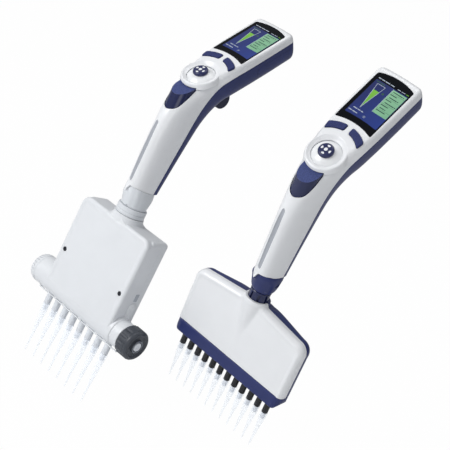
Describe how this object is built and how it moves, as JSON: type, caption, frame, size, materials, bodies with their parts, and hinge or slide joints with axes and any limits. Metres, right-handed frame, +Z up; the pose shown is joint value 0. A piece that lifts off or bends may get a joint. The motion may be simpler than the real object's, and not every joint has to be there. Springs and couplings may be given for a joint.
{
  "type": "pipette set",
  "caption": "Pair of electronic multichannel pipettes with angled display heads: one with a fixed nozzle manifold, one with an adjustable nozzle-spacing body.",
  "frame": {"origin": "centre of the bounding box of the whole set, at the height of its lowest point, the lowest tip of the adjustable-spacing pipette", "axes": "+Z up along the grip axis of the fixed-manifold pipette, towards its head; X along its row of nozzles; -Y is the side that faces the user, +Y the side with the trigger"},
  "size_m": [0.2634, 0.1708, 0.3661],
  "materials": {
    "white_shell": "satin moulded white",
    "white_dome": "satin",
    "navy_shell": "fine satin moulded navy",
    "navy_key": "fine-grained soft-touch navy",
    "navy_cap": "semi-gloss navy",
    "dark_trigger": "satin near-black blue",
    "display_window": "black-bordered window over a colour screen",
    "circuit_board": "solder-masked board",
    "motor_steel": "brushed",
    "screw_steel": "ground",
    "black_sleeve": "semi-gloss black",
    "clear_tip": "translucent, frosted",
    "white_body": "satin pale grey-white",
    "dark_screw": "black oxide",
    "dark_knob": "satin dark grey",
    "grey_nozzle": "satin light grey",
    "grey_collar": "satin light grey"
  },
  "bodies": {
    "a_handle": {"a_front_shell": "white_shell", "a_back_shell": "navy_shell", "a_display": "display_window", "a_circuit_board": "circuit_board", "a_motor": "motor_steel", "a_collar": "navy_shell"},
    "a_key_left": {"a_key_left": "navy_key"},
    "a_key_right": {"a_key_right": "navy_key"},
    "a_joystick_yoke": {"a_joystick_dome": "white_dome"},
    "a_joystick_cap": {"a_joystick_cap": "navy_cap"},
    "a_ejector_button": {"a_ejector_button": "navy_key"},
    "a_trigger": {"a_trigger": "dark_trigger"},
    "a_battery_pack": {"a_battery_pack": "navy_shell"},
    "a_drive_screw": {"a_drive_screw": "screw_steel"},
    "a_coupling_nut": {"a_coupling_nut": "navy_shell"},
    "a_manifold": {"a_manifold_front": "white_shell", "a_manifold_back": "navy_shell", "a_nozzle_base": "navy_shell", "a_nozzle_shafts": "black_sleeve"},
    "a_ejector_sleeves": {"a_ejector_sleeves": "black_sleeve"},
    "a_tips": {"a_tips": "clear_tip"},
    "a_piston_plate": {"a_piston_plate": "screw_steel"},
    "b_handle": {"b_front_shell": "white_shell", "b_back_shell": "navy_shell", "b_display": "display_window", "b_circuit_board": "circuit_board", "b_motor": "motor_steel", "b_collar": "grey_collar"},
    "b_key_left": {"b_key_left": "navy_key"},
    "b_key_right": {"b_key_right": "navy_key"},
    "b_joystick_yoke": {"b_joystick_dome": "white_dome"},
    "b_joystick_cap": {"b_joystick_cap": "navy_cap"},
    "b_ejector_button": {"b_ejector_button": "navy_key"},
    "b_trigger": {"b_trigger": "dark_trigger"},
    "b_battery_pack": {"b_battery_pack": "navy_shell"},
    "b_drive_screw": {"b_drive_screw": "screw_steel"},
    "b_coupling_nut": {"b_coupling_nut": "grey_collar"},
    "b_spacer": {"b_spacer_front": "white_body", "b_spacer_back": "white_body", "b_body_screws": "dark_screw"},
    "b_spacing_cam": {"b_cam_barrel": "dark_knob", "b_spacing_knob": "dark_knob"},
    "b_carrier_1": {"b_carrier_1": "grey_nozzle"},
    "b_tip_1": {"b_tip_1": "clear_tip"},
    "b_carrier_2": {"b_carrier_2": "grey_nozzle"},
    "b_tip_2": {"b_tip_2": "clear_tip"},
    "b_carrier_3": {"b_carrier_3": "grey_nozzle"},
    "b_tip_3": {"b_tip_3": "clear_tip"},
    "b_carrier_4": {"b_carrier_4": "grey_nozzle"},
    "b_tip_4": {"b_tip_4": "clear_tip"},
    "b_carrier_5": {"b_carrier_5": "grey_nozzle"},
    "b_tip_5": {"b_tip_5": "clear_tip"},
    "b_carrier_6": {"b_carrier_6": "grey_nozzle"},
    "b_tip_6": {"b_tip_6": "clear_tip"},
    "b_carrier_7": {"b_carrier_7": "grey_nozzle"},
    "b_tip_7": {"b_tip_7": "clear_tip"},
    "b_carrier_8": {"b_carrier_8": "grey_nozzle"},
    "b_tip_8": {"b_tip_8": "clear_tip"},
    "b_ejector_plate": {"b_ejector_plate": "grey_nozzle"},
    "b_piston_plate": {"b_piston_plate": "screw_steel"}
  },
  "joints": [
    {"name": "a_key_left_press", "type": "slide", "parent": "a_handle", "child": "a_key_left", "axis": [0, 0.6743, -0.7385], "range_m": [0, 0.0008], "stiffness_N_per_m": 400},
    {"name": "a_key_right_press", "type": "slide", "parent": "a_handle", "child": "a_key_right", "axis": [0, 0.6743, -0.7385], "range_m": [0, 0.0008], "stiffness_N_per_m": 400},
    {"name": "a_joystick_pitch", "type": "hinge", "parent": "a_handle", "child": "a_joystick_yoke", "pos_m": [0.07076, -0.00651, 0.29169], "axis": [1, 0, 0], "range_deg": [-4, 4], "stiffness_Nm_per_rad": 0.05},
    {"name": "a_joystick_roll", "type": "hinge", "parent": "a_joystick_yoke", "child": "a_joystick_cap", "pos_m": [0.07076, -0.00651, 0.29169], "axis": [0, 0.7385, 0.6743], "range_deg": [-4, 4], "stiffness_Nm_per_rad": 0.05},
    {"name": "a_ejector_press", "type": "slide", "parent": "a_handle", "child": "a_ejector_button", "axis": [0, 0, -1], "range_m": [0, 0.008], "stiffness_N_per_m": 800},
    {"name": "a_trigger_pull", "type": "hinge", "parent": "a_handle", "child": "a_trigger", "pos_m": [0.07076, 0.01028, 0.30593], "axis": [-1, 0, 0], "range_deg": [0, 8], "stiffness_Nm_per_rad": 0.5},
    {"name": "a_battery_slide_off", "type": "slide", "parent": "a_handle", "child": "a_battery_pack", "axis": [0, 0.7385, 0.6743], "range_m": [0, 0.03]},
    {"name": "a_drive_stroke", "type": "slide", "parent": "a_handle", "child": "a_drive_screw", "axis": [0, 0, -1], "range_m": [0, 0.012]},
    {"name": "a_nut_turn", "type": "hinge", "parent": "a_handle", "child": "a_coupling_nut", "pos_m": [0.07076, -0.02276, 0.1734], "axis": [0, 0, 1], "continuous": true},
    {"name": "a_manifold_swivel", "type": "hinge", "parent": "a_handle", "child": "a_manifold", "pos_m": [0.07076, -0.02276, 0.1734], "axis": [0, 0, 1], "continuous": true},
    {"name": "a_sleeve_push", "type": "slide", "parent": "a_manifold", "child": "a_ejector_sleeves", "axis": [0, 0, -1], "range_m": [0, 0.008]},
    {"name": "a_tip_release", "type": "slide", "parent": "a_manifold", "child": "a_tips", "axis": [0, 0, -1], "range_m": [0, 0.008]},
    {"name": "a_piston_stroke", "type": "slide", "parent": "a_manifold", "child": "a_piston_plate", "axis": [0, 0, -1], "range_m": [0, 0.012]},
    {"name": "b_key_left_press", "type": "slide", "parent": "b_handle", "child": "b_key_left", "axis": [0.1064, 0.4807, -0.8704], "range_m": [0, 0.0008], "stiffness_N_per_m": 400},
    {"name": "b_key_right_press", "type": "slide", "parent": "b_handle", "child": "b_key_right", "axis": [0.1064, 0.4807, -0.8704], "range_m": [0, 0.0008], "stiffness_N_per_m": 400},
    {"name": "b_joystick_pitch", "type": "hinge", "parent": "b_handle", "child": "b_joystick_yoke", "pos_m": [-0.07208, 0.00179, 0.28028], "axis": [0.9938, -0.0786, 0.0781], "range_deg": [-4, 4], "stiffness_Nm_per_rad": 0.05},
    {"name": "b_joystick_roll", "type": "hinge", "parent": "b_joystick_yoke", "child": "b_joystick_cap", "pos_m": [-0.07208, 0.00179, 0.28028], "axis": [0.0309, 0.8734, 0.4861], "range_deg": [-4, 4], "stiffness_Nm_per_rad": 0.05},
    {"name": "b_ejector_press", "type": "slide", "parent": "b_handle", "child": "b_ejector_button", "axis": [0.0578, -0.234, -0.9705], "range_m": [0, 0.008], "stiffness_N_per_m": 800},
    {"name": "b_trigger_pull", "type": "hinge", "parent": "b_handle", "child": "b_trigger", "pos_m": [-0.07132, 0.02139, 0.29028], "axis": [-0.9938, 0.0786, -0.0781], "range_deg": [0, 8], "stiffness_Nm_per_rad": 0.5},
    {"name": "b_battery_slide_off", "type": "slide", "parent": "b_handle", "child": "b_battery_pack", "axis": [0.0309, 0.8734, 0.4861], "range_m": [0, 0.03]},
    {"name": "b_drive_stroke", "type": "slide", "parent": "b_handle", "child": "b_drive_screw", "axis": [0.0578, -0.234, -0.9705], "range_m": [0, 0.012]},
    {"name": "b_nut_turn", "type": "hinge", "parent": "b_handle", "child": "b_coupling_nut", "pos_m": [-0.06678, -0.04164, 0.16919], "axis": [-0.0578, 0.234, 0.9705], "continuous": true},
    {"name": "b_stand_apart", "type": "slide", "parent": "a_handle", "child": "b_handle", "axis": [-1, 0, 0], "range_m": [0, 0.1]},
    {"name": "b_spacer_swivel", "type": "hinge", "parent": "b_handle", "child": "b_spacer", "pos_m": [-0.06678, -0.04164, 0.16919], "axis": [-0.0578, 0.234, 0.9705], "continuous": true},
    {"name": "b_spacing_knob_turn", "type": "hinge", "parent": "b_spacer", "child": "b_spacing_cam", "pos_m": [-0.06124, -0.0641, 0.07601], "axis": [0.9938, -0.0786, 0.0781], "range_deg": [-219.87, 138.23]},
    {"name": "b_carrier_1_spread", "type": "slide", "parent": "b_spacer", "child": "b_carrier_1", "axis": [0.9938, -0.0786, 0.0781], "range_m": [-0.00676, 0.01075]},
    {"name": "b_tip_1_release", "type": "slide", "parent": "b_carrier_1", "child": "b_tip_1", "axis": [0.0578, -0.234, -0.9705], "range_m": [0, 0.008]},
    {"name": "b_carrier_2_spread", "type": "slide", "parent": "b_spacer", "child": "b_carrier_2", "axis": [0.9938, -0.0786, 0.0781], "range_m": [-0.00483, 0.00768]},
    {"name": "b_tip_2_release", "type": "slide", "parent": "b_carrier_2", "child": "b_tip_2", "axis": [0.0578, -0.234, -0.9705], "range_m": [0, 0.008]},
    {"name": "b_carrier_3_spread", "type": "slide", "parent": "b_spacer", "child": "b_carrier_3", "axis": [0.9938, -0.0786, 0.0781], "range_m": [-0.0029, 0.00461]},
    {"name": "b_tip_3_release", "type": "slide", "parent": "b_carrier_3", "child": "b_tip_3", "axis": [0.0578, -0.234, -0.9705], "range_m": [0, 0.008]},
    {"name": "b_carrier_4_spread", "type": "slide", "parent": "b_spacer", "child": "b_carrier_4", "axis": [0.9938, -0.0786, 0.0781], "range_m": [-0.00097, 0.00154]},
    {"name": "b_tip_4_release", "type": "slide", "parent": "b_carrier_4", "child": "b_tip_4", "axis": [0.0578, -0.234, -0.9705], "range_m": [0, 0.008]},
    {"name": "b_carrier_5_spread", "type": "slide", "parent": "b_spacer", "child": "b_carrier_5", "axis": [0.9938, -0.0786, 0.0781], "range_m": [-0.00154, 0.00097]},
    {"name": "b_tip_5_release", "type": "slide", "parent": "b_carrier_5", "child": "b_tip_5", "axis": [0.0578, -0.234, -0.9705], "range_m": [0, 0.008]},
    {"name": "b_carrier_6_spread", "type": "slide", "parent": "b_spacer", "child": "b_carrier_6", "axis": [0.9938, -0.0786, 0.0781], "range_m": [-0.00461, 0.0029]},
    {"name": "b_tip_6_release", "type": "slide", "parent": "b_carrier_6", "child": "b_tip_6", "axis": [0.0578, -0.234, -0.9705], "range_m": [0, 0.008]},
    {"name": "b_carrier_7_spread", "type": "slide", "parent": "b_spacer", "child": "b_carrier_7", "axis": [0.9938, -0.0786, 0.0781], "range_m": [-0.00768, 0.00483]},
    {"name": "b_tip_7_release", "type": "slide", "parent": "b_carrier_7", "child": "b_tip_7", "axis": [0.0578, -0.234, -0.9705], "range_m": [0, 0.008]},
    {"name": "b_carrier_8_spread", "type": "slide", "parent": "b_spacer", "child": "b_carrier_8", "axis": [0.9938, -0.0786, 0.0781], "range_m": [-0.01075, 0.00676]},
    {"name": "b_tip_8_release", "type": "slide", "parent": "b_carrier_8", "child": "b_tip_8", "axis": [0.0578, -0.234, -0.9705], "range_m": [0, 0.008]},
    {"name": "b_ejector_plate_push", "type": "slide", "parent": "b_spacer", "child": "b_ejector_plate", "axis": [0.0578, -0.234, -0.9705], "range_m": [0, 0.0183]},
    {"name": "b_piston_stroke", "type": "slide", "parent": "b_spacer", "child": "b_piston_plate", "axis": [0.0578, -0.234, -0.9705], "range_m": [0, 0.012]}
  ],
  "couplings": [
    {"joint": "a_sleeve_push", "follows": "a_ejector_press", "ratio": 1},
    {"joint": "a_tip_release", "follows": "a_ejector_press", "ratio": 1},
    {"joint": "a_piston_stroke", "follows": "a_drive_stroke", "ratio": 1},
    {"joint": "b_carrier_1_spread", "follows": "b_spacing_knob_turn", "m_per_rad": -0.0028},
    {"joint": "b_tip_1_release", "follows": "b_ejector_press", "ratio": 1},
    {"joint": "b_carrier_2_spread", "follows": "b_spacing_knob_turn", "m_per_rad": -0.002},
    {"joint": "b_tip_2_release", "follows": "b_ejector_press", "ratio": 1},
    {"joint": "b_carrier_3_spread", "follows": "b_spacing_knob_turn", "m_per_rad": -0.0012},
    {"joint": "b_tip_3_release", "follows": "b_ejector_press", "ratio": 1},
    {"joint": "b_carrier_4_spread", "follows": "b_spacing_knob_turn", "m_per_rad": -0.0004},
    {"joint": "b_tip_4_release", "follows": "b_ejector_press", "ratio": 1},
    {"joint": "b_carrier_5_spread", "follows": "b_spacing_knob_turn", "m_per_rad": 0.0004},
    {"joint": "b_tip_5_release", "follows": "b_ejector_press", "ratio": 1},
    {"joint": "b_carrier_6_spread", "follows": "b_spacing_knob_turn", "m_per_rad": 0.0012},
    {"joint": "b_tip_6_release", "follows": "b_ejector_press", "ratio": 1},
    {"joint": "b_carrier_7_spread", "follows": "b_spacing_knob_turn", "m_per_rad": 0.002},
    {"joint": "b_tip_7_release", "follows": "b_ejector_press", "ratio": 1},
    {"joint": "b_carrier_8_spread", "follows": "b_spacing_knob_turn", "m_per_rad": 0.0028},
    {"joint": "b_tip_8_release", "follows": "b_ejector_press", "ratio": 1},
    {"joint": "b_ejector_plate_push", "follows": "b_ejector_press", "ratio": 2.28},
    {"joint": "b_piston_stroke", "follows": "b_drive_stroke", "ratio": 1}
  ]
}
